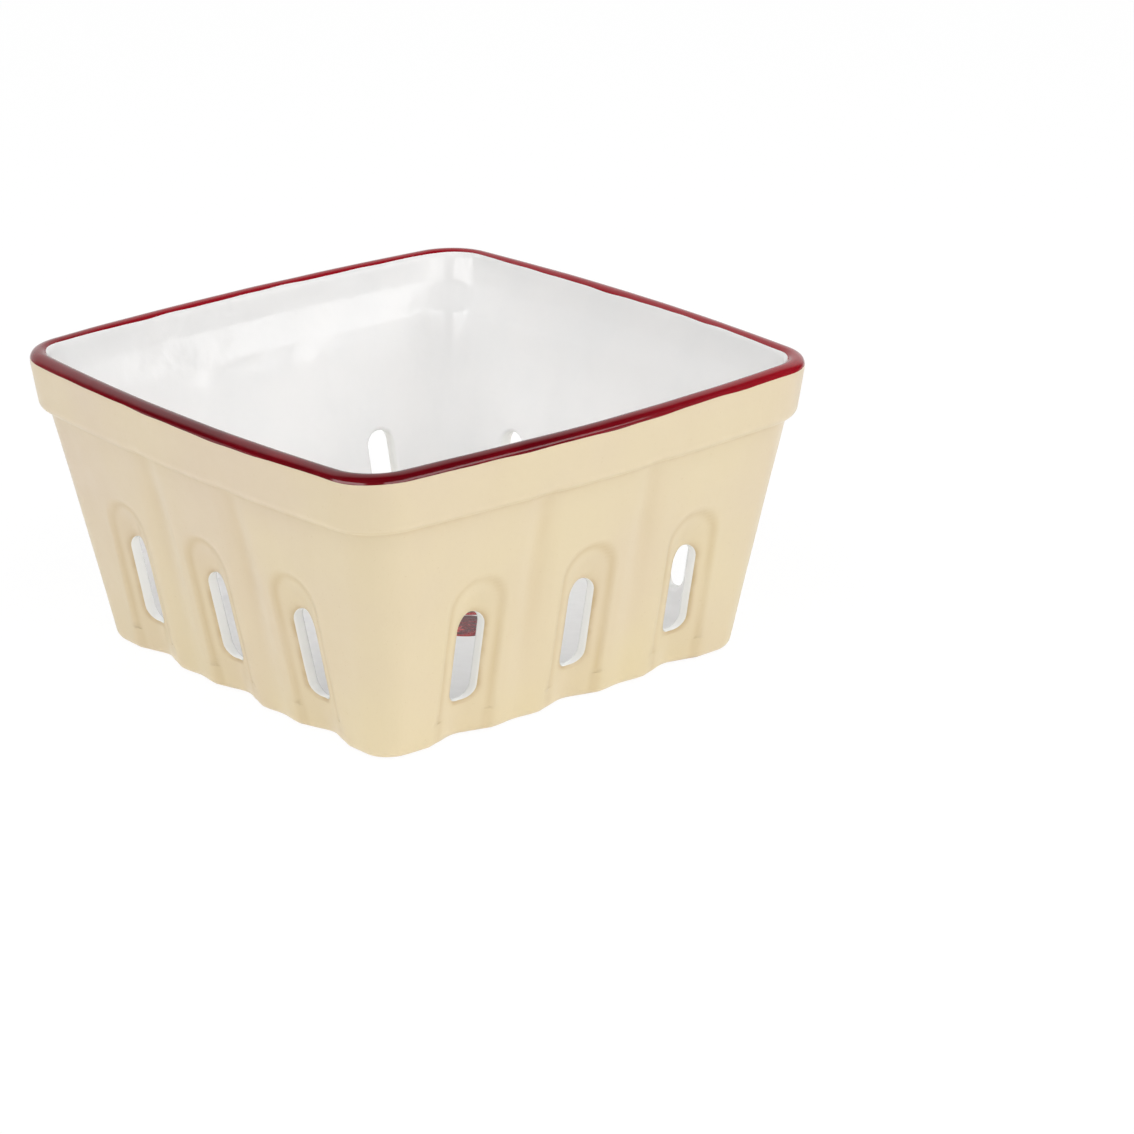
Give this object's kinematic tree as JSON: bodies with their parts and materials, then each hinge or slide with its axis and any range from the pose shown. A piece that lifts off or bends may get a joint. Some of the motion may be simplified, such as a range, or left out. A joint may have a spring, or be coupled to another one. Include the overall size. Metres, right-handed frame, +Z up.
{
  "type": "berry colander bowl",
  "caption": "Square ceramic berry basket with tapered ribbed walls, arched drain slots, a stepped collar and a rolled coloured lip.",
  "frame": {"origin": "centre of the foot, on the surface that the bowl stands on", "axes": "+Z up through the mouth of the bowl; +X and +Y square to two neighbouring sides"},
  "size_m": [0.16, 0.16, 0.082],
  "materials": {
    "bisque": "matte",
    "cream_glaze": "satin",
    "white_glaze": "gloss",
    "burgundy_glaze": "gloss",
    "berry_enamel": "gloss",
    "leaf_enamel": "gloss"
  },
  "bodies": {
    "root": {"clay_body": "bisque", "exterior_glaze": "cream_glaze", "underside_glaze": "cream_glaze", "interior_glaze": "white_glaze", "slot_glaze": "white_glaze", "rim_band": "burgundy_glaze", "painted_berries": "berry_enamel", "painted_leaves": "leaf_enamel", "painted_stems": "leaf_enamel"}
  },
  "joints": []
}
